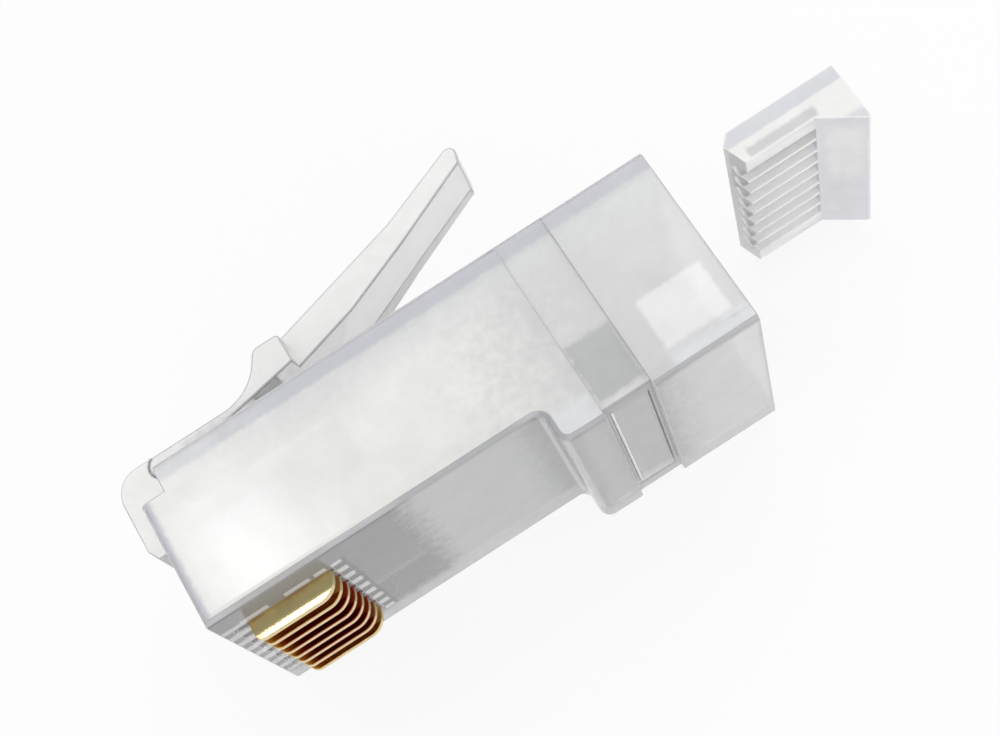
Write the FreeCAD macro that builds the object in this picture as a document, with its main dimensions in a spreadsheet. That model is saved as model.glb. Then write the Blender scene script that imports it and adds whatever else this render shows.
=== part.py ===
# Eight-position modular plug with a separate load bar, lying on one flank.
# X runs from the nose to the cable entry, Y from the contact side to the latch side,
# Z across the width. The origin is the centre of the nose face. Millimetres.
import FreeCAD, Part
import math
import os
import Sketcher

# name, value, meaning
DIMENSIONS = (
    ("body_length", 22.8, "nose face to rear face"),
    ("body_width", 11.68, "flank to flank"),
    ("front_depth", 6.6, "contact face to latch face"),
    ("edge_round", 0.35, "round along the flanks' outer edges"),
    ("shoulder_place", 14.4, "nose to the shoulder behind the contact face"),
    ("shoulder_depth", 1.5, "how far the rear stands out past the contact face"),
    ("shoulder_foot_round", 0.4, "hollow round at the shoulder's foot"),
    ("shoulder_tip_round", 0.5, "round on the shoulder's tip"),
    ("rib_length", 1.85, "length of the shoulder rib"),
    ("saddle_length", 2.05, "length of the shallow saddle behind the rib"),
    ("saddle_depth", 0.27, "saddle depth on the contact side"),
    ("saddle_side_depth", 0.12, "saddle depth on each flank"),
    ("notch_length", 1.07, "nose corner set-back beside the latch root"),
    ("notch_depth", 1.2, "height of that set-back"),
    ("roof_wall", 0.8, "wall on the latch side"),
    ("flank_wall", 0.84, "wall on each flank"),
    ("floor_wall", 0.85, "wall on the contact side"),
    ("front_block", 8.0, "solid block that holds the contacts and wire bores"),
    ("ramp_lead", 1.0, "how far the inner ramp starts ahead of the shoulder"),
    ("nose_wall", 0.45, "wall between the nose face and the contact slots"),
    ("contact_count", 8, "number of contacts"),
    ("contact_pitch", 1.02, "spacing of contacts and wires"),
    ("wire_bore", 0.9, "diameter of each wire bore"),
    ("blade_place", 1.05, "nose face to the blades' front edge"),
    ("blade_length", 3.65, "blade length along the plug"),
    ("blade_height", 4.25, "blade height from outer edge to teeth"),
    ("blade_thickness", 0.32, "blade thickness"),
    ("blade_proud", 0.87, "how far an uncrimped blade stands out"),
    ("blade_front_round", 0.35, "outer front corner of a blade"),
    ("blade_rear_round", 0.9, "outer rear corner of a blade"),
    ("slot_clearance", 0.03, "gap on each side of a blade"),
    ("slot_end_gap", 0.08, "gap behind a blade"),
    ("tooth_count", 3, "piercing teeth on each blade"),
    ("tooth_width", 0.75, "width of a tooth"),
    ("tooth_height", 1.35, "height of a tooth"),
    ("tooth_point", 0.5, "height of a tooth's point"),
    ("latch_width", 6.0, "width of the latch's base"),
    ("latch_thickness", 1.0, "thickness of the latch at its hinge"),
    ("latch_gap", 0.55, "gap between latch and body at the hinge"),
    ("latch_hinge_place", 0.9, "nose face to the latch's living hinge"),
    ("hinge_clearance", 0.03, "gap around the hinge's round end"),
    ("root_lip", 0.15, "how far the latch root stops short of the hinge line"),
    ("root_overhang", 1.15, "how far the latch root stands ahead of the nose"),
    ("root_reach", 2.25, "how far the latch root runs down the nose"),
    ("root_bevel", 0.5, "bevel at the root's lower front corner"),
    ("root_round", 1.1, "round at the root's upper front corner"),
    ("base_rise_place", 5.27, "nose face to the foot of the base's rise"),
    ("base_rise_round", 2.2, "hollow round at the foot of that rise"),
    ("lock_place", 7.4, "nose face to the latch's locking shoulders"),
    ("lock_top_lead", 1.2, "length of the shoulders' top"),
    ("lock_round", 0.45, "round on the shoulders' front crest"),
    ("lock_rear_round", 0.2, "round on the shoulders' rear crest"),
    ("lock_height", 3.15, "height of the locking shoulders over the body"),
    ("lock_thickness", 1.35, "thickness of the base at the shoulders"),
    ("arm_root_width", 4.2, "width of the latch arm at the shoulders"),
    ("arm_tip_width", 3.25, "width of the latch arm at its tip"),
    ("arm_rise", 0.2, "how far the arm's root stands over the shoulders"),
    ("elbow_lead", 3.0, "shoulders to the elbow under the arm"),
    ("elbow_height", 2.8, "height of that elbow over the body"),
    ("bend_lead", 6.0, "shoulders to the bend on top of the arm"),
    ("bend_height", 5.3, "height of that bend over the body"),
    ("tip_lead", 10.05, "shoulders to the latch's tip"),
    ("tip_height", 6.75, "height of the tip over the body"),
    ("tip_thickness", 0.85, "thickness of the arm at its tip"),
    ("tip_slant", 0.25, "how far the tip's lower corner is set back"),
    ("tip_flat", 0.5, "flat on top of the tip"),
    ("tip_round", 0.3, "round on the tip"),
    ("bar_gap", 2.75, "rear face to the load bar where it lies drawn out"),
    ("bar_length", 5.2, "load bar length"),
    ("bar_clearance", 0.08, "gap between load bar and chamber walls"),
    ("bar_front_depth", 1.5, "load bar thickness over its grooves"),
    ("bar_rear_depth", 2.74, "load bar thickness at its rear"),
    ("bar_ramp", 1.75, "length of the load bar's ramp"),
    ("bar_bevel_length", 0.44, "length of the bevel on the load bar's front"),
    ("bar_bevel_depth", 0.47, "depth of that bevel"),
    ("bar_rake", 0.35, "rake of the load bar's front face"),
    ("bar_round", 0.12, "round on the load bar's rear lower edge"),
    ("groove_bore", 0.82, "width of a wire groove"),
    ("groove_depth", 1.2, "load bar top to the wires' centre line"),
    ("relief_width", 9.8, "width of the cable strain relief"),
    ("relief_margin", 0.18, "saddle left ahead of and behind its window"),
    ("relief_clearance", 0.05, "gap around the strain relief"),
    ("relief_web", 0.3, "thickness of the strain relief's web"),
    ("relief_web_length", 0.45, "length of that web"),
    ("relief_height", 1.35, "height of the strain relief's block"),
    ("relief_bevel", 0.45, "bevel on the block's rear top edge"),
    ("round_gap", 0.001, "what a full round's radius falls short of half the thickness"),
)

# Two lengths closer than this are the same.
FLAT = 0.001

# Heights that several pieces share, written from the spreadsheet's cells.
LATCH_FACE = "dims.front_depth / 2"
CONTACT_FACE = "-dims.front_depth / 2"
SHOULDER_FACE = f"{CONTACT_FACE} - dims.shoulder_depth"
SADDLE_FACE = f"{SHOULDER_FACE} + dims.saddle_depth"
SADDLE_START = "dims.shoulder_place + dims.rib_length"
SADDLE_END = f"{SADDLE_START} + dims.saddle_length"
ROOF = f"{LATCH_FACE} - dims.roof_wall"
CHAMBER_WIDTH = "(dims.body_width - 2 * dims.flank_wall)"
BAR_TOP = f"{ROOF} - dims.bar_clearance"
WIRE_LINE = f"{BAR_TOP} - dims.groove_depth"
BLADE_EDGE = f"{CONTACT_FACE} - dims.blade_proud"
BLADE_END = "dims.blade_place + dims.blade_length"
PATTERN_LENGTH = "(dims.contact_count - 1) * dims.contact_pitch"
FIRST_WIRE = f"-{PATTERN_LENGTH} / 2"
LATCH_FLOOR = f"{LATCH_FACE} + dims.latch_gap"
LATCH_TOP = f"{LATCH_FLOOR} + dims.latch_thickness"
HINGE_HEIGHT = f"{LATCH_FLOOR} + dims.latch_thickness / 2"
OUTSIDE = "dims.body_width"
SIDES = (("near", ""), ("far", "-"))


def make_sheet(doc):
    """Fill the spreadsheet that drives every piece."""
    sheet = doc.addObject("Spreadsheet::Sheet", "dims")
    for row, (alias, value, meaning) in enumerate(DIMENSIONS, start=1):
        sheet.set(f"A{row}", meaning)
        sheet.set(f"B{row}", str(value))
        sheet.setAlias(f"B{row}", alias)
    doc.recompute()
    return sheet


def new_body(doc, name):
    """Start an empty body with the name of its piece."""
    body = doc.addObject("PartDesign::Body", name)
    body.Label = name
    return body


def origin_feature(body, role):
    """Find one of the body's own planes or axes."""
    return next(part for part in body.Origin.OriginFeatures if part.Role == role)


def new_sketch(body, name, plane, offset=None):
    """Attach a sketch to one of the body's origin planes, moved along its normal."""
    sketch = body.newObject("Sketcher::SketchObject", name)
    sketch.AttachmentSupport = [(origin_feature(body, plane), "")]
    sketch.MapMode = "FlatFace"
    if offset:
        sketch.setExpression("AttachmentOffset.Base.z", offset)
    return sketch


def place_point(sketch, geometry, point, corner):
    """Fix a point of the sketch at a corner given by two expressions."""
    for kind, expression in zip(("DistanceX", "DistanceY"), corner):
        index = sketch.addConstraint(Sketcher.Constraint(kind, -1, 1, geometry, point, 1.0))
        sketch.setExpression(f"Constraints[{index}]", expression)


def outline_sketch(body, name, corners, plane="XY_Plane", offset=None):
    """Draw a closed outline of straight sides through the corners."""
    sketch = new_sketch(body, name, plane, offset)
    turn = 2 * math.pi / len(corners)
    start = [FreeCAD.Vector(math.cos(i * turn), math.sin(i * turn), 0) for i in range(len(corners))]
    for here, there in zip(start, start[1:] + start[:1]):
        sketch.addGeometry(Part.LineSegment(here, there), False)
    for side in range(len(corners)):
        following = (side + 1) % len(corners)
        sketch.addConstraint(Sketcher.Constraint("Coincident", side, 2, following, 1))
    for side, corner in enumerate(corners):
        place_point(sketch, side, 1, corner)
    return sketch


def circle_sketch(body, name, centre, diameter, plane="XY_Plane", offset=None):
    """Draw one circle."""
    sketch = new_sketch(body, name, plane, offset)
    normal = FreeCAD.Vector(0, 0, 1)
    sketch.addGeometry(Part.Circle(FreeCAD.Vector(1, 1, 0), normal, 1), False)
    place_point(sketch, 0, 3, centre)
    index = sketch.addConstraint(Sketcher.Constraint("Diameter", 0, 1.0))
    sketch.setExpression(f"Constraints[{index}]", diameter)
    return sketch


def rectangle(low_x, high_x, low_y, high_y):
    """Give the four corners of a rectangle."""
    return ((low_x, low_y), (high_x, low_y), (high_x, high_y), (low_x, high_y))


def extrude(body, kind, name, sketch, length, both_ways=True, reverse=False):
    """Pad or pocket a sketch, evenly about its plane unless told otherwise."""
    feature = body.newObject(f"PartDesign::{kind}", name)
    feature.Profile = sketch
    feature.setExpression("Length", length)
    if both_ways:
        feature.SideType = "Symmetric"
    feature.Reversed = reverse
    sketch.Visibility = False
    body.Document.recompute()
    return feature


def repeat_for_wires(body, name, originals):
    """Repeat features once for every wire, across the width."""
    pattern = body.newObject("PartDesign::LinearPattern", name)
    pattern.Originals = originals
    pattern.Direction = (origin_feature(body, "Z_Axis"), [""])
    pattern.setExpression("Length", PATTERN_LENGTH)
    pattern.setExpression("Occurrences", "dims.contact_count")
    body.Tip = pattern
    body.Document.recompute()
    return pattern


def round_edges(body, name, radius, wanted):
    """Round the edges of the body so far that pass a test."""
    base = body.Tip
    edges = [f"Edge{i}" for i, edge in enumerate(base.Shape.Edges, start=1) if wanted(edge)]
    fillet = body.newObject("PartDesign::Fillet", name)
    fillet.Base = (base, edges)
    fillet.setExpression("Radius", radius)
    body.Document.recompute()
    return fillet


def runs_along(edge, axis):
    """Tell whether a straight edge runs along one axis."""
    box = edge.BoundBox
    lengths = {"X": box.XLength, "Y": box.YLength, "Z": box.ZLength}
    return lengths.pop(axis) > max(lengths.values()) + FLAT and max(lengths.values()) < FLAT


def near(value, target):
    """Tell whether two lengths are the same."""
    return abs(value - target) < FLAT


def across_at(x, y=None):
    """Make a test for edges that run across the width at one place."""

    def test(edge):
        spot = edge.CenterOfMass
        return runs_along(edge, "Z") and near(spot.x, x) and (y is None or near(spot.y, y))

    return test


def add_outer_form(body, sheet):
    """Pad the side profile and round its corners."""
    corners = (
        ("0", CONTACT_FACE),
        ("dims.shoulder_place", CONTACT_FACE),
        ("dims.shoulder_place", SHOULDER_FACE),
        ("dims.body_length", SHOULDER_FACE),
        ("dims.body_length", LATCH_FACE),
        ("0", LATCH_FACE),
    )
    profile = outline_sketch(body, "side_profile", corners)
    extrude(body, "Pad", "outer_form", profile, "dims.body_width")
    foot = -sheet.front_depth / 2
    tip = foot - sheet.shoulder_depth
    place = sheet.shoulder_place
    round_edges(body, "shoulder_foot", "dims.shoulder_foot_round", across_at(place, foot))
    round_edges(body, "shoulder_tip", "dims.shoulder_tip_round", across_at(place, tip))

    def on_long_edge(edge):
        spot = edge.CenterOfMass
        on_flank = near(abs(spot.z), sheet.body_width / 2)
        nose = runs_along(edge, "Y") and near(spot.x, 0)
        return on_flank and (runs_along(edge, "X") or nose)

    round_edges(body, "flank_edges", "dims.edge_round", on_long_edge)


def add_latch_root(body, sheet):
    """Set the nose corners back and stand the latch's root on the nose."""
    shelf = f"{LATCH_FACE} - dims.notch_depth"
    corners = rectangle("-dims.notch_length", "dims.notch_length", shelf, OUTSIDE)
    for side, sign in SIDES:
        middle = f"{sign}(dims.body_width + dims.latch_width) / 4"
        notch = outline_sketch(body, f"{side}_notch_outline", corners, offset=middle)
        extrude(body, "Pocket", f"{side}_notch", notch, "(dims.body_width - dims.latch_width) / 2")
    front = "-dims.root_overhang"
    low = f"{LATCH_FACE} - dims.root_reach"
    lip = "dims.latch_hinge_place - dims.root_lip"
    corners = (
        ("dims.nose_wall / 2", low),
        (f"{front} + dims.root_bevel / 2", low),
        (front, f"{low} + dims.root_bevel"),
        (front, LATCH_TOP),
        (lip, LATCH_TOP),
        (lip, shelf),
        ("dims.nose_wall / 2", shelf),
    )
    root = outline_sketch(body, "latch_root_outline", corners)
    extrude(body, "Pad", "latch_root", root, "dims.latch_width")
    top = sheet.front_depth / 2 + sheet.latch_gap + sheet.latch_thickness
    round_edges(body, "latch_root_round", "dims.root_round", across_at(-sheet.root_overhang, top))
    socket = circle_sketch(
        body,
        "hinge_socket_outline",
        ("dims.latch_hinge_place", HINGE_HEIGHT),
        "dims.latch_thickness + 2 * dims.hinge_clearance",
    )
    extrude(body, "Pocket", "hinge_socket", socket, "dims.latch_width * 2")


def add_chamber(body):
    """Hollow the housing from the rear for the load bar and the cable."""
    beyond = "dims.body_length * 2"
    low_front = f"{CONTACT_FACE} + dims.floor_wall"
    low_rear = f"{SHOULDER_FACE} + dims.floor_wall"
    corners = (
        ("dims.front_block", low_front),
        ("dims.shoulder_place - dims.ramp_lead", low_front),
        ("dims.shoulder_place + dims.floor_wall", low_rear),
        (beyond, low_rear),
        (beyond, ROOF),
        ("dims.front_block", ROOF),
    )
    chamber = outline_sketch(body, "chamber_outline", corners)
    extrude(body, "Pocket", "chamber", chamber, CHAMBER_WIDTH)


def add_wire_bores_and_slots(body):
    """Cut one wire bore and one contact slot for each wire."""
    bore = circle_sketch(
        body, "wire_bore_outline", (WIRE_LINE, FIRST_WIRE), "dims.wire_bore", "YZ_Plane", "dims.nose_wall"
    )
    bore_length = "dims.front_block - dims.nose_wall + dims.wire_bore"
    first_bore = extrude(body, "Pocket", "wire_bore", bore, bore_length, both_ways=False, reverse=True)
    corners = rectangle("dims.nose_wall", f"{BLADE_END} + dims.slot_end_gap", SHOULDER_FACE, WIRE_LINE)
    slot_width = "dims.blade_thickness + 2 * dims.slot_clearance"
    slot = outline_sketch(body, "contact_slot_outline", corners, offset=FIRST_WIRE)
    first_slot = extrude(body, "Pocket", "contact_slot", slot, slot_width)
    repeat_for_wires(body, "wires_and_slots", [first_bore, first_slot])


def add_saddle(body, sheet):
    """Sink the saddle into the contact side and carry it up both flanks."""
    corners = rectangle(SADDLE_START, SADDLE_END, f"-{OUTSIDE}", SADDLE_FACE)
    floor = outline_sketch(body, "saddle_outline", corners)
    extrude(body, "Pocket", "saddle", floor, "2 * dims.body_width")
    corners = rectangle(SADDLE_START, SADDLE_END, f"-{OUTSIDE}", OUTSIDE)
    for side, sign in SIDES:
        flank = f"{sign}dims.body_width / 2"
        recess = outline_sketch(body, f"{side}_saddle_outline", corners, offset=flank)
        extrude(body, "Pocket", f"{side}_saddle", recess, "2 * dims.saddle_side_depth")
    height = saddle_height(sheet)

    def on_saddle_edge(edge):
        spot = edge.CenterOfMass
        inner = abs(spot.z) < sheet.body_width / 2 - sheet.flank_wall
        return runs_along(edge, "X") and near(spot.y, height) and not inner

    round_edges(body, "saddle_edges", "dims.saddle_side_depth", on_saddle_edge)


def saddle_height(sheet):
    """Give the height of the saddle's floor."""
    return -sheet.front_depth / 2 - sheet.shoulder_depth + sheet.saddle_depth


def add_relief_window(body):
    """Open the window that the strain relief sits in."""
    corners = rectangle(
        f"{SADDLE_START} + dims.relief_margin",
        f"{SADDLE_END} - dims.relief_margin",
        f"-{OUTSIDE}",
        f"{SHOULDER_FACE} + 2 * dims.floor_wall",
    )
    window = outline_sketch(body, "relief_window_outline", corners)
    extrude(body, "Pocket", "relief_window", window, "dims.relief_width")


def make_housing(doc, sheet):
    """Moulded clear housing with the fixed root of its latch."""
    body = new_body(doc, "housing")
    add_outer_form(body, sheet)
    add_latch_root(body, sheet)
    add_chamber(body)
    add_wire_bores_and_slots(body)
    add_saddle(body, sheet)
    add_relief_window(body)
    return body


def make_latch(doc, sheet):
    """Latch lever: a wide base with two locking shoulders, then a narrower arm."""
    body = new_body(doc, "latch")
    front = "dims.latch_hinge_place - dims.latch_thickness / 2"
    lock_top = f"{LATCH_FACE} + dims.lock_height"
    corners = (
        (front, LATCH_FLOOR),
        ("dims.latch_hinge_place", LATCH_FLOOR),
        ("dims.lock_place", f"{lock_top} - dims.lock_thickness"),
        ("dims.lock_place", lock_top),
        ("dims.lock_place - dims.lock_top_lead", lock_top),
        ("dims.base_rise_place", LATCH_TOP),
        (front, LATCH_TOP),
    )
    base = outline_sketch(body, "base_outline", corners)
    extrude(body, "Pad", "base", base, "dims.latch_width")
    hinge_front = sheet.latch_hinge_place - sheet.latch_thickness / 2
    crest = sheet.lock_place - sheet.lock_top_lead
    top = sheet.front_depth / 2 + sheet.lock_height
    round_edges(body, "hinge_round", "dims.latch_thickness / 2 - dims.round_gap", across_at(hinge_front))
    round_edges(body, "rise_round", "dims.base_rise_round", across_at(sheet.base_rise_place))
    round_edges(body, "crest_round", "dims.lock_round", across_at(crest, top))
    round_edges(body, "rear_crest_round", "dims.lock_rear_round", across_at(sheet.lock_place, top))
    add_latch_arm(body, lock_top)
    tip = sheet.lock_place + sheet.tip_lead
    round_edges(body, "tip_round", "dims.tip_round", across_at(tip))
    return body


def add_latch_arm(body, lock_top):
    """Pad the arm behind the shoulders and taper its sides towards the tip."""
    start = "dims.lock_place - dims.lock_top_lead / 2"
    bend = "dims.lock_place + dims.bend_lead"
    tip = "dims.lock_place + dims.tip_lead"
    tip_top = f"{LATCH_FACE} + dims.tip_height"
    corners = (
        (start, f"{lock_top} - dims.lock_thickness"),
        ("dims.lock_place", f"{lock_top} - dims.lock_thickness"),
        ("dims.lock_place + dims.elbow_lead", f"{LATCH_FACE} + dims.elbow_height"),
        (f"{tip} - dims.tip_slant", f"{tip_top} - dims.tip_thickness"),
        (tip, tip_top),
        (f"{tip} - dims.tip_flat", tip_top),
        (bend, f"{LATCH_FACE} + dims.bend_height"),
        ("dims.lock_place", f"{lock_top} + dims.arm_rise"),
        (start, lock_top),
    )
    arm = outline_sketch(body, "arm_outline", corners)
    extrude(body, "Pad", "arm", arm, "dims.arm_root_width")
    for side, sign in SIDES:
        corners = (
            ("dims.lock_place", f"{sign}dims.arm_root_width / 2"),
            (bend, f"{sign}dims.arm_tip_width / 2"),
            (f"{tip} + dims.tip_slant", f"{sign}dims.arm_tip_width / 2"),
            (f"{tip} + dims.tip_slant", f"{sign}dims.arm_root_width"),
            ("dims.lock_place", f"{sign}dims.arm_root_width"),
        )
        taper = outline_sketch(body, f"{side}_taper_outline", corners, plane="XZ_Plane")
        extrude(body, "Pocket", f"{side}_taper", taper, f"4 * {OUTSIDE}")


def make_load_bar(doc, sheet):
    """Load bar: eight open grooves that end at the foot of its ramp."""
    body = new_body(doc, "load_bar")
    front = "dims.body_length + dims.bar_gap"
    rear = f"{front} + dims.bar_length"
    low = f"{BAR_TOP} - dims.bar_front_depth"
    corners = (
        (front, f"{BAR_TOP} - dims.bar_bevel_depth"),
        (f"{front} + dims.bar_rake", low),
        (f"{rear} - dims.bar_ramp", low),
        (rear, f"{BAR_TOP} - dims.bar_rear_depth"),
        (rear, BAR_TOP),
        (f"{front} + dims.bar_bevel_length", BAR_TOP),
    )
    profile = outline_sketch(body, "bar_profile", corners)
    extrude(body, "Pad", "bar", profile, f"{CHAMBER_WIDTH} - 2 * dims.bar_clearance")
    rear_place = sheet.body_length + sheet.bar_gap + sheet.bar_length
    rear_height = sheet.front_depth / 2 - sheet.roof_wall - sheet.bar_clearance - sheet.bar_rear_depth
    round_edges(body, "bar_round", "dims.bar_round", across_at(rear_place, rear_height))
    grooved = "dims.bar_length - dims.bar_ramp"
    bore = circle_sketch(body, "groove_bore", (WIRE_LINE, FIRST_WIRE), "dims.groove_bore", "YZ_Plane", front)
    first_bore = extrude(body, "Pocket", "groove_bed", bore, grooved, both_ways=False, reverse=True)
    corners = rectangle(f"{front} - dims.bar_rake", f"{rear} - dims.bar_ramp", f"{low} - dims.groove_bore", WIRE_LINE)
    groove = outline_sketch(body, "groove_outline", corners, offset=FIRST_WIRE)
    first_groove = extrude(body, "Pocket", "groove", groove, "dims.groove_bore")
    repeat_for_wires(body, "grooves", [first_bore, first_groove])
    return body


def make_strain_relief(doc, sheet):
    """Strain relief block, hung on a thin web at its front edge."""
    body = new_body(doc, "strain_relief")
    front = f"{SADDLE_START} + dims.relief_margin + dims.relief_clearance"
    rear = f"{SADDLE_END} - dims.relief_margin - dims.relief_clearance"
    low = f"{SADDLE_FACE} + dims.relief_clearance"
    top = f"{low} + dims.relief_height"
    corners = (
        (front, low),
        (rear, low),
        (rear, f"{top} - dims.relief_bevel"),
        (f"{rear} - dims.relief_bevel", top),
        (f"{front} + dims.relief_web_length", top),
        (f"{front} + dims.relief_web_length", f"{low} + dims.relief_web"),
        (front, f"{low} + dims.relief_web"),
    )
    profile = outline_sketch(body, "relief_profile", corners)
    extrude(body, "Pad", "relief", profile, "dims.relief_width - 2 * dims.relief_clearance")
    window_front = sheet.shoulder_place + sheet.rib_length + sheet.relief_margin
    web_end = across_at(window_front + sheet.relief_clearance)
    round_edges(body, "web_round", "dims.relief_web / 2 - dims.round_gap", web_end)
    return body


def blade_corners(sheet):
    """Give a blade's outline: a long head and pointed teeth towards the wire."""
    tips = f"{BLADE_EDGE} + dims.blade_height"
    shoulders = f"{tips} - dims.tooth_point"
    roots = f"{tips} - dims.tooth_height"
    corners = [("dims.blade_place", BLADE_EDGE), (BLADE_END, BLADE_EDGE), (BLADE_END, roots)]
    count = int(sheet.tooth_count)
    for tooth in range(count - 1, -1, -1):
        middle = f"dims.blade_place + dims.blade_length * {2 * tooth + 1} / {2 * count}"
        right = f"{middle} + dims.tooth_width / 2"
        left = f"{middle} - dims.tooth_width / 2"
        corners += [(right, roots), (right, shoulders), (middle, tips), (left, shoulders), (left, roots)]
    corners.append(("dims.blade_place", roots))
    return corners


def make_contact(doc, sheet, number):
    """One gold-plated contact blade in its raised, uncrimped place."""
    body = new_body(doc, f"contact_{number}")
    profile = outline_sketch(body, f"blade_outline_{number}", blade_corners(sheet))
    extrude(body, "Pad", f"blade_{number}", profile, "dims.blade_thickness")
    edge_height = -sheet.front_depth / 2 - sheet.blade_proud
    front = across_at(sheet.blade_place, edge_height)
    rear = across_at(sheet.blade_place + sheet.blade_length, edge_height)
    round_edges(body, f"front_corner_{number}", "dims.blade_front_round", front)
    round_edges(body, f"rear_corner_{number}", "dims.blade_rear_round", rear)
    step = f"({number} - (dims.contact_count + 1) / 2)"
    body.setExpression("Placement.Base.z", f"-{step} * dims.contact_pitch")
    doc.recompute()
    return body


def check_document(doc, pieces):
    """Stop if any object failed or any piece is not one valid solid."""
    for item in doc.Objects:
        if "Invalid" in item.State or "Error" in item.State:
            raise RuntimeError(f"{item.Name} failed: {item.State}")
    for piece in pieces:
        shape = piece.Shape
        if shape.isNull() or not shape.isValid() or len(shape.Solids) != 1:
            raise RuntimeError(f"{piece.Label} is not one valid solid")


def export_pieces(pieces):
    """Write one STEP file for each piece."""
    os.makedirs("parts", exist_ok=True)
    for piece in pieces:
        piece.Shape.exportStep(f"parts/{piece.Label}.step")
        box = piece.Shape.BoundBox
        print(
            f"{piece.Label:14s} {piece.Shape.Volume:9.3f} mm3"
            f"  x {box.XMin:6.2f} {box.XMax:6.2f}  y {box.YMin:6.2f} {box.YMax:6.2f}"
            f"  z {box.ZMin:6.2f} {box.ZMax:6.2f}"
        )


document = FreeCAD.newDocument("modular_plug")
dimensions = make_sheet(document)
parts = [
    make_housing(document, dimensions),
    make_latch(document, dimensions),
    make_load_bar(document, dimensions),
    make_strain_relief(document, dimensions),
]
for contact_number in range(1, int(dimensions.contact_count) + 1):
    parts.append(make_contact(document, dimensions, contact_number))
document.recompute()
check_document(document, parts)
export_pieces(parts)
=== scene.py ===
import math

import bmesh
import bpy
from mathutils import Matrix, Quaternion, Vector


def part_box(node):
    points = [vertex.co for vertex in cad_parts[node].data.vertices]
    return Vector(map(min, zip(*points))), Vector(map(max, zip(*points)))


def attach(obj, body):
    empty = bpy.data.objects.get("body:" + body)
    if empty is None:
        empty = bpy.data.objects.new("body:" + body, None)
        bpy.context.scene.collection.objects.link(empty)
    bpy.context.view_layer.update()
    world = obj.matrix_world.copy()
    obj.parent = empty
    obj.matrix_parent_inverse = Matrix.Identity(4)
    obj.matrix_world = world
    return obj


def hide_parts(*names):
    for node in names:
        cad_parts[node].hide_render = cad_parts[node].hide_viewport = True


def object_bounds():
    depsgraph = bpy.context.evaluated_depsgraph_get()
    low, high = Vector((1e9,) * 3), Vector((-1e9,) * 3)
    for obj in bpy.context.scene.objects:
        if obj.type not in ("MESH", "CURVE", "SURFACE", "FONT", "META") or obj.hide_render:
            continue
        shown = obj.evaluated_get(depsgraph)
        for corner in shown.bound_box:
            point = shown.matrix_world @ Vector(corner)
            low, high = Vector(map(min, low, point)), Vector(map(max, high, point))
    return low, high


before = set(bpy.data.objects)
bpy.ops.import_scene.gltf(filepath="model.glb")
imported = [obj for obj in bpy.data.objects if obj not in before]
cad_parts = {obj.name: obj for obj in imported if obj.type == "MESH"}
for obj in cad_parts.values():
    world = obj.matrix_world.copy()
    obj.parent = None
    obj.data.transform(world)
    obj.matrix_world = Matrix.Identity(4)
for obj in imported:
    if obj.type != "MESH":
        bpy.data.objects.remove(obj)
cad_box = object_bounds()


# ---------------------------------------------------------------- plug housing
# The body of the plug: one injection moulding in clear polycarbonate, with the
# wire chamber, the eight blade slots and the clip's root. Its outward edges are
# only broken, its flanks are hazed by the mould, and its faces are clearer.

MM = 0.001
ROLLED, MAIN = 0, 1


def moulded_copy(node, name, edge_radius, finishes):
    """A new piece with the form of a node, its outward edges rolled over by a radius in millimetres.
    The first of its finishes goes on the rolled edges and the second on all other faces."""
    sharp, smooth, flat = math.radians(32), math.radians(34), math.radians(0.2)
    same_point = 0.0015
    piece = bpy.data.objects.new(name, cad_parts[node].data.copy())
    piece.data.name = name
    piece.data.materials.clear()
    for finish in finishes:
        piece.data.materials.append(finish)
    for face in piece.data.polygons:
        face.material_index = MAIN
    bpy.context.scene.collection.objects.link(piece)
    bpy.ops.object.select_all(action="DESELECT")
    bpy.context.view_layer.objects.active = piece
    piece.select_set(True)

    # The mesh is worked on at a thousand times its size, in millimetres.
    bpy.ops.object.mode_set(mode="EDIT")
    bpy.ops.mesh.select_all(action="SELECT")
    bpy.ops.transform.resize(value=(1 / MM,) * 3, center_override=(0, 0, 0))
    bpy.ops.mesh.remove_doubles(threshold=same_point)
    bpy.ops.mesh.dissolve_limited(angle_limit=flat)
    bpy.ops.mesh.customdata_custom_splitnormals_clear()
    bpy.ops.mesh.select_mode(type="EDGE")
    bpy.ops.mesh.select_all(action="DESELECT")
    shape = bmesh.from_edit_mesh(piece.data)
    for edge in shape.edges:
        edge.select_set(edge.calc_face_angle_signed(0.0) > sharp)
    bmesh.update_edit_mesh(piece.data)
    bpy.ops.mesh.bevel(offset=edge_radius, segments=2, affect="EDGES", clamp_overlap=False, material=ROLLED)
    bpy.ops.object.mode_set(mode="OBJECT")
    bpy.ops.object.shade_smooth_by_angle(angle=smooth)
    level = piece.modifiers.new("flat_faces", "WEIGHTED_NORMAL")
    level.weight = 100
    level.keep_sharp = True
    bpy.ops.object.modifier_apply(modifier=level.name)
    bpy.ops.object.mode_set(mode="EDIT")
    bpy.ops.mesh.select_all(action="SELECT")
    bpy.ops.transform.resize(value=(MM,) * 3, center_override=(0, 0, 0))
    bpy.ops.object.mode_set(mode="OBJECT")
    return piece


def add_node(tree, kind, inputs=None, **properties):
    """A shader node with its properties set, and each input given a value or linked to a socket."""
    node = tree.nodes.new(f"ShaderNode{kind}")
    for name, value in properties.items():
        setattr(node, name, value)
    for socket, value in (inputs or {}).items():
        if isinstance(value, bpy.types.NodeSocket):
            tree.links.new(value, node.inputs[socket])
        else:
            node.inputs[socket].default_value = value
    return node


def maths(tree, operation, *values):
    """One step of arithmetic on numbers."""
    return add_node(tree, "Math", dict(enumerate(values)), operation=operation).outputs["Value"]


def vector_maths(tree, operation, *values):
    """One step of arithmetic on vectors."""
    return add_node(tree, "VectorMath", dict(enumerate(values)), operation=operation).outputs["Vector"]


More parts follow.
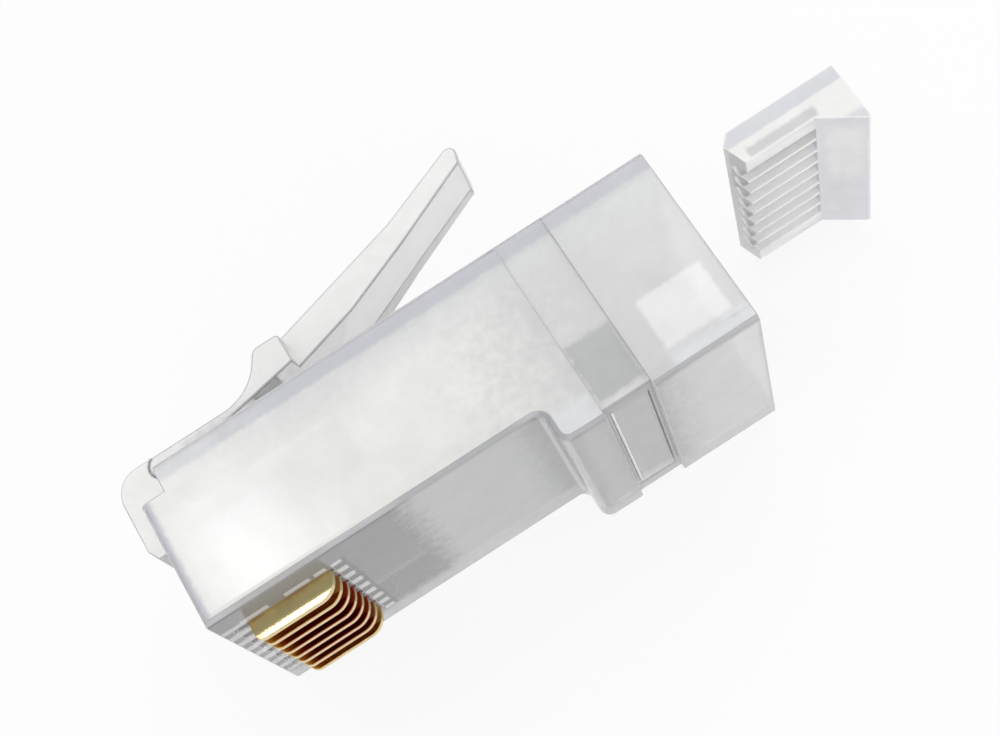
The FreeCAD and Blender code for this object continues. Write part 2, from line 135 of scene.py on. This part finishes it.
def noise(tree, place, scale, detail, output="Fac", roughness=0.5):
    """A noise pattern on the piece's own coordinates."""
    inputs = {"Vector": place, "Scale": scale, "Detail": detail, "Roughness": roughness}
    return add_node(tree, "TexNoise", inputs).outputs[output]


def rise(tree, value, start, end, lowest=0.0, highest=1.0, smooth=False):
    """What goes from lowest to highest as a value goes from start to end."""
    inputs = {"Value": value, "From Min": start, "From Max": end, "To Min": lowest, "To Max": highest}
    kind = "SMOOTHSTEP" if smooth else "LINEAR"
    return add_node(tree, "MapRange", inputs, interpolation_type=kind).outputs["Result"]


def blend_of(tree, share, under, over):
    """A colour that goes from one to another as its share goes from 0 to 1."""
    inputs = {"Factor": share, "A": under, "B": over}
    return add_node(tree, "Mix", inputs, data_type="RGBA").outputs["Result"]


def split_place(tree, place):
    """The three coordinates of a place."""
    return add_node(tree, "SeparateXYZ", {"Vector": place}).outputs


def node_group(name, takes, gives):
    """A node group with its named inputs and outputs, then the sockets that it takes and gives."""
    group = bpy.data.node_groups.new(name, "ShaderNodeTree")
    for way, sockets in (("INPUT", takes), ("OUTPUT", gives)):
        for socket, kind in sockets.items():
            group.interface.new_socket(socket, in_out=way, socket_type=f"NodeSocket{kind}")
    entry = group.nodes.new("NodeGroupInput").outputs if takes else None
    return group, entry, group.nodes.new("NodeGroupOutput").inputs


def moulded_skin():
    """What the mould and the melt leave on a face: cloudy tone, uneven haze and a faint ripple."""
    takes = {"Tone": "Color", "Haze": "Float", "Spread": "Float"}
    gives = {"Colour": "Color", "Roughness": "Float", "Normal": "Vector"}
    group, entry, leave = node_group("moulded_skin", takes, gives)
    place = add_node(group, "TexCoord").outputs["Object"]
    mottle = noise(group, place, 650, 6, roughness=0.65)
    cloud = rise(group, mottle, 0.3, 0.7, 0.94, 1.03)
    clouded = add_node(group, "VectorMath", {0: entry["Tone"], "Scale": cloud}, operation="SCALE")
    group.links.new(clouded.outputs["Vector"], leave["Colour"])
    swing = maths(group, "SUBTRACT", mottle, 0.5)
    haze = maths(group, "MULTIPLY_ADD", swing, entry["Spread"], entry["Haze"])
    group.links.new(haze, leave["Roughness"])
    ripple = {"Height": noise(group, place, 260, 2), "Strength": 0.35, "Distance": 0.06 * MM}
    group.links.new(add_node(group, "Bump", ripple).outputs["Normal"], leave["Normal"])
    return group


def inside_box():
    """A mask that is 1 inside a box and falls off over a soft, slightly ragged border."""
    from_min, from_max = 7, 8  # a Map Range node's sockets for vectors
    takes = {"Low": "Vector", "High": "Vector", "Border": "Vector", "Share": "Float"}
    group, entry, leave = node_group("inside_box", takes, {"Mask": "Float"})
    place = add_node(group, "TexCoord").outputs["Object"]
    grit = noise(group, place, 3200, 4, "Color")
    centred = vector_maths(group, "SUBTRACT", grit, (0.5, 0.5, 0.5))
    spread = vector_maths(group, "MULTIPLY", centred, entry["Border"])
    ragged = vector_maths(group, "MULTIPLY_ADD", spread, (1.8, 1.8, 1.8), place)
    masks = []
    for end, outside, within in (("Low", "SUBTRACT", "ADD"), ("High", "ADD", "SUBTRACT")):
        bounds = {
            "Vector": ragged,
            from_min: vector_maths(group, outside, entry[end], entry["Border"]),
            from_max: vector_maths(group, within, entry[end], entry["Border"]),
        }
        step = add_node(group, "MapRange", bounds, data_type="FLOAT_VECTOR", interpolation_type="SMOOTHSTEP")
        masks.append(step.outputs["Vector"])
    mask = entry["Share"]
    for part in split_place(group, vector_maths(group, "MULTIPLY", *masks)):
        mask = maths(group, "MULTIPLY", mask, part)
    group.links.new(mask, leave["Mask"])
    return group


def slot_row(pitch, first_slot):
    """Where a point lies in the row of blade slots: how far off a slot's centre, as a share of the
    pitch, and a mask that is 1 on the ribs between the slots."""
    group, _, leave = node_group("slot_row", {}, {"Off Centre": "Float", "Rib": "Float"})
    place = split_place(group, add_node(group, "TexCoord").outputs["Object"])
    along = maths(group, "SUBTRACT", place["Z"], first_slot)
    off_centre = maths(group, "PINGPONG", maths(group, "DIVIDE", along, pitch), 0.5)
    group.links.new(off_centre, leave["Off Centre"])
    group.links.new(rise(group, off_centre, 0.2, 0.32, smooth=True), leave["Rib"])
    return group


CONTACTS = range(1, 9)
SLOT_CENTRES = [sum(corner.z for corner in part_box(f"contact_{number}")) / 2 for number in CONTACTS]
MOULDED_SKIN = moulded_skin()
INSIDE_BOX = inside_box()
SLOT_ROW = slot_row(SLOT_CENTRES[0] - SLOT_CENTRES[1], SLOT_CENTRES[0])
FAR = 90
ANYWHERE = (-FAR, FAR)


def zone(tint, share, x=ANYWHERE, y=ANYWHERE, z=ANYWHERE, soft=0.15, ribbed=False):
    """A place of another tone painted on a clear piece, in millimetres: painted shade, painted highlights
    and glare, and the tone of parts behind that show through.
    A ribbed zone is only on the ribs between the blade slots."""
    return tint, share, tuple(zip(x, y, z)), soft if isinstance(soft, tuple) else (soft,) * 3, ribbed


def clear_plastic(name, haze, spread, milk, tint, zones=()):
    """Moulded polycarbonate: glass that lets the lamps through, a little grey in its depth. Haze is its
    roughness, spread is how much that varies, and milk is the share of light that it scatters."""
    finish = bpy.data.materials.new(name)
    finish.use_nodes = True
    tree = finish.node_tree
    shell, output = tree.nodes["Principled BSDF"], tree.nodes["Material Output"]
    shell.inputs["Metallic"].default_value = 0.0
    shell.inputs["IOR"].default_value = 1.52
    shell.inputs["Transmission Weight"].default_value = 1 - milk
    tone = (*tint, 1)
    for zone_tint, share, corners, border, ribbed in zones:
        if ribbed:
            ribs = add_node(tree, "Group", node_tree=SLOT_ROW).outputs["Rib"]
            share = maths(tree, "MULTIPLY", ribs, share)
        low, high, edge = (Vector(point) * MM for point in (*corners, border))
        inputs = {"Low": low, "High": high, "Border": edge, "Share": share}
        mask = add_node(tree, "Group", inputs, node_tree=INSIDE_BOX).outputs["Mask"]
        tone = blend_of(tree, mask, tone, (*zone_tint, 1))
    skin = add_node(tree, "Group", {"Tone": tone, "Haze": haze, "Spread": spread}, node_tree=MOULDED_SKIN)
    tree.links.new(skin.outputs["Colour"], shell.inputs["Base Color"])
    tree.links.new(skin.outputs["Roughness"], shell.inputs["Roughness"])
    tree.links.new(skin.outputs["Normal"], shell.inputs["Normal"])
    lamp_ray = add_node(tree, "LightPath").outputs["Is Shadow Ray"]
    through = add_node(tree, "BsdfTransparent", {"Color": (0.95, 0.95, 0.95, 1)}).outputs["BSDF"]
    choice = add_node(tree, "MixShader", {"Fac": lamp_ray, 1: shell.outputs["BSDF"], 2: through})
    depth = add_node(tree, "VolumeAbsorption", {"Color": (0.72, 0.72, 0.76, 1), "Density": 35})
    tree.links.new(choice.outputs["Shader"], output.inputs["Surface"])
    tree.links.new(depth.outputs["Volume"], output.inputs["Volume"])
    return finish


# Zone colours: white for painted highlights, glare and fill light, lilac for painted shade, and a bluish
# white for painted highlights on lower edges.
WHITE = (1.0, 1.0, 0.99)
LILAC_SHADE = (0.70, 0.70, 0.77)
SKY_HIGHLIGHT = (0.95, 0.95, 1.0)
NOSE = {"x": (-FAR, 1.0), "y": (-FAR, -2.6), "z": (-4.3, 4.3)}
ALONG_ROW = (-4.2, 4.2)
BESIDE_ROW = (3.93, 4.32)
# Rolled edges, lighter and hazier than the faces: painted sheen for the light that edges catch.
EDGE_SHEEN = clear_plastic("edge_sheen", 0.34, 0.1, 0.5, (0.90, 0.90, 0.93))
# Darker rolled edges: painted shade for the grey outline that a clear edge shows.
RIM_SHADE = clear_plastic("clear_rim_shade", 0.2, 0.1, 0.8, (0.68, 0.68, 0.70))
# The walls of the strain relief's window: painted white as fill light, against the shade in the narrow gap.
WINDOW_FILL = clear_plastic("window_walls_fill", 0.3, 0.1, 0.95, WHITE)
STIPPLED = clear_plastic("stippled_side", 0.24, 0.2, 0.86, (1.0, 1.0, 0.985), (
    # painted shade under the clip
    zone((0.74, 0.74, 0.75), 0.9, x=(2.0, FAR), y=(-FAR, 4.6), soft=0.25),
))
SHELL = clear_plastic("clear_shell", 0.12, 0.08, 0.42, (0.87, 0.87, 0.89), (
    # painted shade where the slots end in the nose, and a painted highlight on the ribs between them
    zone((0.60, 0.60, 0.61), 0.7, **NOSE, soft=0.3),
    zone(WHITE, 0.8, **NOSE, soft=0.3, ribbed=True),
))
# The contact face is the flank's plastic with its tint greyed: painted shade for the side turned away from
# the light.
FACE = clear_plastic("contact_face", 0.14, 0.10, 0.5, (0.70, 0.705, 0.695), (
    # painted shade over the solid nose block and the saddle, painted light over the wall of the cable entry,
    # and a painted highlight along the edge by the far flank
    zone((0.34, 0.34, 0.35), 0.85, x=(-FAR, 8.3), soft=0.8),
    zone((0.50, 0.50, 0.51), 0.7, x=(13.4, 18.6), soft=(0.9, 0.3, 0.3)),
    zone((0.84, 0.845, 0.82), 0.9, x=(19.4, FAR), soft=1.0),
    zone(WHITE, 0.8, z=(-FAR, -4.3), soft=0.6),
    # a comb painted behind the slots: painted shade, with a painted highlight for a tooth on each rib, and
    # such teeth at the nose too
    zone((0.24, 0.24, 0.25), 0.9, x=(4.75, 5.4), z=ALONG_ROW, soft=0.06),
    zone(WHITE, 1.0, x=(4.8, 5.25), z=ALONG_ROW, soft=0.06, ribbed=True),
    zone(WHITE, 0.9, x=(-FAR, 1.0), z=ALONG_ROW, soft=0.1, ribbed=True),
    # three painted highlights beside the outermost slot, along its rim
    zone(WHITE, 1.0, x=(0.9, 2.1), z=BESIDE_ROW, soft=0.03),
    zone(WHITE, 1.0, x=(2.8, 3.9), z=BESIDE_ROW, soft=0.03),
    zone(WHITE, 1.0, x=(4.1, 4.6), z=BESIDE_ROW, soft=0.03),
))
FLANK = clear_plastic("hazed_flank", 0.16, 0.12, 0.74, (0.98, 0.985, 0.955), (
    # painted shade over the hollow rear half and the latch side, and a painted glare over the blades
    zone((0.79, 0.79, 0.79), 1.0, x=(14.5, FAR), soft=3.5),
    zone((0.85, 0.85, 0.86), 0.8, x=(4.0, FAR), y=(1.6, FAR), soft=(2.0, 0.9, 0.9)),
    zone(WHITE, 1.0, x=(1.7, 4.9), y=(-3.1, 0.2), soft=0.3),
    # painted lilac shade along the roof's thickness, and along the nose's
    zone(LILAC_SHADE, 0.55, y=(2.5, FAR), soft=0.12),
    zone((0.66, 0.66, 0.73), 0.6, x=(4.5, FAR), y=(2.5, FAR), soft=(2.0, 0.12, 0.12)),
    zone(LILAC_SHADE, 0.9, x=(-FAR, 0.4), soft=0.12),
    # painted shade over the strain relief's end, painted light on a panel by the cable entry, and painted
    # highlights on the lower edges
    zone((0.55, 0.55, 0.56), 0.8, x=(16.3, 18.25), y=(-4.2, -1.7), soft=0.14),
    zone(WHITE, 0.95, x=(19.42, 22.2), y=(-3.9, -1.7), soft=0.12),
    zone(SKY_HIGHLIGHT, 0.9, x=(19.4, FAR), y=(-FAR, -4.1), soft=0.3),
    zone(SKY_HIGHLIGHT, 0.8, x=(14.2, 16.2), y=(-FAR, -3.7), soft=0.3),
))

FINISHES = (EDGE_SHEEN, SHELL, FLANK, FACE, STIPPLED, WINDOW_FILL, RIM_SHADE)
FACING = 0.9
housing = moulded_copy("housing", "plug_housing", 0.05, FINISHES)
flank_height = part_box("housing")[1].z / MM
window = sum(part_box("strain_relief"), Vector()) / 2 / MM
for face in housing.data.polygons:
    x, y, z = face.center / MM
    if face.material_index == ROLLED:
        # Rolled edges at the clip's root and the saddle's step take the darker rim as painted shade, the
        # others the lighter edge finish as painted sheen.
        saddle_step = abs(z) > flank_height - 0.1 and 15.8 < x < 18.8
        finish = RIM_SHADE if y > 3.4 or saddle_step else EDGE_SHEEN
    elif abs(z) > flank_height - 0.2 and abs(face.normal.z) > FACING:
        finish = FLANK
    elif y < -3.2 and face.normal.y < -FACING:
        finish = FACE
    elif y > 3.4:
        finish = STIPPLED
    elif abs(x - window.x) < 1.2 and y < -2.9 and abs(z) < 5.0:
        # painted fill light on the window's walls
        finish = WINDOW_FILL
    else:
        finish = SHELL
    face.material_index = FINISHES.index(finish)
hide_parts("housing")
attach(housing, "plug")


# ---------------------------------------------------------------- locking clip
# The spring clip, moulded in one with the housing: a flat base that locks in
# the socket and an arm for the thumb, bent away from the body.

CLEAR = clear_plastic("clear_polycarbonate", 0.07, 0.05, 0.28, (1.0, 1.0, 0.99), (
    # painted shade on the underside of the base
    zone((0.80, 0.80, 0.80), 0.8, x=(2.0, FAR), y=(-FAR, 4.7), soft=0.2),
))
SIDE = 2
# The clip's rolled edges take the darker rim: painted shade for its outline.
clip = moulded_copy("latch", "locking_clip", 0.08, (RIM_SHADE, CLEAR, STIPPLED))
for face in clip.data.polygons:
    if face.material_index == MAIN and abs(face.normal.z) > FACING:
        face.material_index = SIDE
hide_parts("latch")
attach(clip, "latch_lever")


# ---------------------------------------------------------------- strain relief
# The tongue that folds down on the cable's jacket when the plug is crimped,
# clear as the housing it hinges on.

relief = moulded_copy("strain_relief", "relief_tongue", 0.05, (EDGE_SHEEN, FACE, WINDOW_FILL))
for face in relief.data.polygons:
    # All but the relief's contact face take the white window finish: painted fill light against the shade in
    # the gap.
    if face.material_index == MAIN and face.normal.y > -FACING:
        face.material_index = SIDE
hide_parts("strain_relief")
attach(relief, "relief_block")


# ---------------------------------------------------------------- load bar
# The clear block that holds the eight wires in line before they are pushed
# home, with an open groove for each wire up to the foot of its ramp.

BAR = clear_plastic("load_bar_plastic", 0.05, 0.04, 0.75, (1.0, 1.0, 0.99), (
    # painted lilac shade on the ramp, a painted glare across it, and painted shade in the beds of the
    # grooves
    zone((0.86, 0.86, 0.91), 0.9, x=(28.9, FAR), soft=0.3),
    zone(WHITE, 1.0, x=(29.3, 30.5), z=(-0.5, 4.4), soft=(0.3, 0.3, 0.8)),
    zone((0.52, 0.52, 0.52), 0.9, x=(25.8, 29.0), y=(1.28, 1.9), soft=0.06),
))
BAR_SIDE = clear_plastic("load_bar_side", 0.08, 0.05, 0.82, (0.99, 0.99, 0.97), (
    # painted shade along the bar's back, in the nearest groove and at the ramp's corner
    zone(LILAC_SHADE, 0.75, y=(1.75, FAR), soft=0.08),
    zone((0.62, 0.62, 0.64), 0.8, x=(26.2, 29.2), y=(0.98, 1.4), soft=0.10),
    zone(LILAC_SHADE, 0.7, x=(28.8, FAR), y=(-FAR, 0.3), soft=0.12),
))
# The bar's rolled edges in white: painted highlights for the light that edges catch.
BAR_EDGE_GLINT = clear_plastic("load_bar_edge_glint", 0.2, 0.1, 0.88, (1.0, 1.0, 1.0))
load_bar = moulded_copy("load_bar", "wire_load_bar", 0.05, (BAR_EDGE_GLINT, BAR, BAR_SIDE))
bar_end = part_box("load_bar")[1].z - 0.1 * MM
for face in load_bar.data.polygons:
    if face.material_index == MAIN and abs(face.normal.z) > FACING and abs(face.center.z) > bar_end:
        face.material_index = SIDE
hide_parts("load_bar")
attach(load_bar, "load_bar_body")


# ---------------------------------------------------------------- contacts
# Eight blades stamped from phosphor bronze sheet and gold plated, standing
# in the slots of the contact face; the crimp drives them into the wires.

def gold_plate(bare_above):
    """Gold plate on the crest that the socket's springs touch, dull bronze above it,
    and a deep red brown painted on as shade where the blades shade each other."""
    plate_colours = (0.60, 0.44, 0.19, 1), (0.86, 0.72, 0.42, 1)
    bronze = (0.50, 0.44, 0.23, 1)
    shade_colours = (0.44, 0.07, 0.02, 1), (0.95, 0.80, 0.25, 1)
    finish = bpy.data.materials.new("gold_plate")
    finish.use_nodes = True
    tree = finish.node_tree
    shell = tree.nodes["Principled BSDF"]
    shell.inputs["Metallic"].default_value = 1.0
    place = add_node(tree, "TexCoord").outputs["Object"]
    x, y, z = split_place(tree, place)
    grain = noise(tree, place, 2600, 5)

    # New metal: grained plate, with bare bronze above it.
    plate = blend_of(tree, grain, *plate_colours)
    bare = rise(tree, y, bare_above - 0.03 * MM, bare_above + 0.03 * MM)
    metal = blend_of(tree, bare, plate, bronze)

    # Painted shade: red brown, lightened to olive in grainy blotches towards the row's ends and the blades'
    # front ends, as painted light where more gets in between the blades.
    beside = maths(tree, "ABSOLUTE", z)
    row_end = rise(tree, beside, 1.9 * MM, 3.2 * MM)
    blade_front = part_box("contact_1")[0].x
    blade_end = rise(tree, x, blade_front + 0.9 * MM, blade_front)
    lit_blotches = maths(tree, "MULTIPLY", maths(tree, "MAXIMUM", row_end, blade_end), grain)
    deep = blend_of(tree, lit_blotches, *shade_colours)

    # The painted shade stays off the crests and off the row's outermost faces, and lies only where the
    # ambient occlusion finds the blades shading each other.
    off_centre = add_node(tree, "Group", node_tree=SLOT_ROW).outputs["Off Centre"]
    crest = rise(tree, off_centre, 0.09, 0.15, 1.0, 0.0)
    outermost = rise(tree, beside, abs(SLOT_CENTRES[0]) + 0.06 * MM, abs(SLOT_CENTRES[0]) + 0.12 * MM)
    shade = add_node(tree, "AmbientOcclusion", {"Distance": 1.2 * MM}, samples=8).outputs["AO"]
    open_to_light = rise(tree, shade, 0.42, 0.66, smooth=True)
    unshaded = maths(tree, "MULTIPLY", open_to_light, maths(tree, "MAXIMUM", crest, outermost))
    tree.links.new(blend_of(tree, unshaded, deep, metal), shell.inputs["Base Color"])
    wear = rise(tree, grain, 0.0, 1.0, 0.08, 0.2)
    tree.links.new(maths(tree, "MULTIPLY_ADD", bare, 0.3, wear), shell.inputs["Roughness"])
    return finish


GOLD = gold_plate(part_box("contact_1")[0].y + 0.33 * MM)
first_blade = moulded_copy("contact_1", "contact_blade_1", 0.04, (GOLD, GOLD))
for number, centre in zip(CONTACTS, SLOT_CENTRES):
    blade = first_blade
    if number > 1:
        blade = bpy.data.objects.new(f"contact_blade_{number}", first_blade.data.copy())
        bpy.context.scene.collection.objects.link(blade)
        for vertex in blade.data.vertices:
            vertex.co.z += centre - SLOT_CENTRES[0]
    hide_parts(f"contact_{number}")
    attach(blade, f"blade_{number}")


# ---------------------------------------------------------------- studio
# A plain white table, a small soft box over the nose, a broad one behind and
# one in front, in a pale room that is a little darker near the floor.

bpy.ops.object.select_all(action="DESELECT")
bpy.ops.mesh.primitive_plane_add(size=3, location=(0.015, 0, cad_box[0].z - 0.01 * MM))
table = bpy.context.object
table.name = "studio_table"
sheet = bpy.data.materials.new("white_table")
sheet.use_nodes = True
tree = sheet.node_tree
board = tree.nodes["Principled BSDF"]
board.inputs["Base Color"].default_value = (0.92, 0.92, 0.92, 1)
board.inputs["Roughness"].default_value = 0.9
glow = add_node(tree, "Emission", {"Color": (1, 1, 1, 1), "Strength": 1.0}).outputs["Emission"]
rays = add_node(tree, "LightPath").outputs
straight = maths(tree, "MAXIMUM", rays["Is Camera Ray"], rays["Is Glossy Ray"])
seen = maths(tree, "MAXIMUM", straight, rays["Is Transmission Ray"])
white_share = 0.85
cover = maths(tree, "MULTIPLY", seen, white_share)
top = add_node(tree, "MixShader", {"Fac": cover, 1: board.outputs["BSDF"], 2: glow})
tree.links.new(top.outputs["Shader"], tree.nodes["Material Output"].inputs["Surface"])
table.data.materials.append(sheet)

room = bpy.data.worlds.new("pale_room")
bpy.context.scene.world = room
room.use_nodes = True
tree = room.node_tree
sky = tree.nodes["Background"]
height = split_place(tree, add_node(tree, "TexCoord").outputs["Generated"])["Z"]
walls = add_node(tree, "ValToRGB", {"Fac": height})
stops = (0.0, (0.50, 0.50, 0.53, 1)), (0.9, (0.88, 0.89, 0.87, 1))
for stop, (position, colour) in zip(walls.color_ramp.elements, stops):
    stop.position = position
    stop.color = colour
tree.links.new(walls.outputs["Color"], sky.inputs["Color"])
sky.inputs["Strength"].default_value = 1.0


def soft_box(name, aim, toward, distance, size, power):
    """A rectangular area lamp that faces aim from the direction toward."""
    lamp = bpy.data.lights.new(name, "AREA")
    lamp.shape = "RECTANGLE"
    lamp.size, lamp.size_y = size
    lamp.energy = power
    stand = bpy.data.objects.new(name, lamp)
    bpy.context.scene.collection.objects.link(stand)
    out = Vector(toward).normalized()
    stand.location = Vector(aim) + out * distance
    stand.rotation_mode = "QUATERNION"
    stand.rotation_quaternion = (-out).to_track_quat("-Z", "Y")


nose_top = (0.0029, -0.0026, 0.0058)
soft_box("nose_box", nose_top, (-0.16, 0.349, 0.924), distance=0.30, size=(0.018, 0.03), power=0.018)
soft_box("back_box", (0.012, 0.0, 0.0), (0.5, 0.7, 1.0), distance=0.45, size=(0.4, 0.3), power=0.44)
soft_box("front_box", (0.012, -0.003, 0.0), (-0.1, -1.0, 0.38), distance=0.5, size=(0.5, 0.35), power=0.65)

aim_point = Vector((14.065, 1.272, 0)) * MM
distance = 71.902 * MM
azimuth, elevation, roll = math.radians(-1.366), math.radians(68.524), math.radians(31.506)
eye = bpy.data.cameras.new("studio_camera")
eye.lens = 64.8
eye.sensor_width = 36
eye.clip_start, eye.clip_end = 0.001, 10
camera = bpy.data.objects.new("studio_camera", eye)
bpy.context.scene.collection.objects.link(camera)
level = math.cos(elevation)
look = Vector((-math.sin(azimuth) * level, math.cos(azimuth) * level, -math.sin(elevation)))
camera.location = aim_point - look * distance
camera.rotation_mode = "QUATERNION"
camera.rotation_quaternion = look.to_track_quat("-Z", "Y") @ Quaternion((0, 0, 1), -roll)
bpy.context.scene.camera = camera
bpy.context.scene.view_settings.view_transform = "Standard"
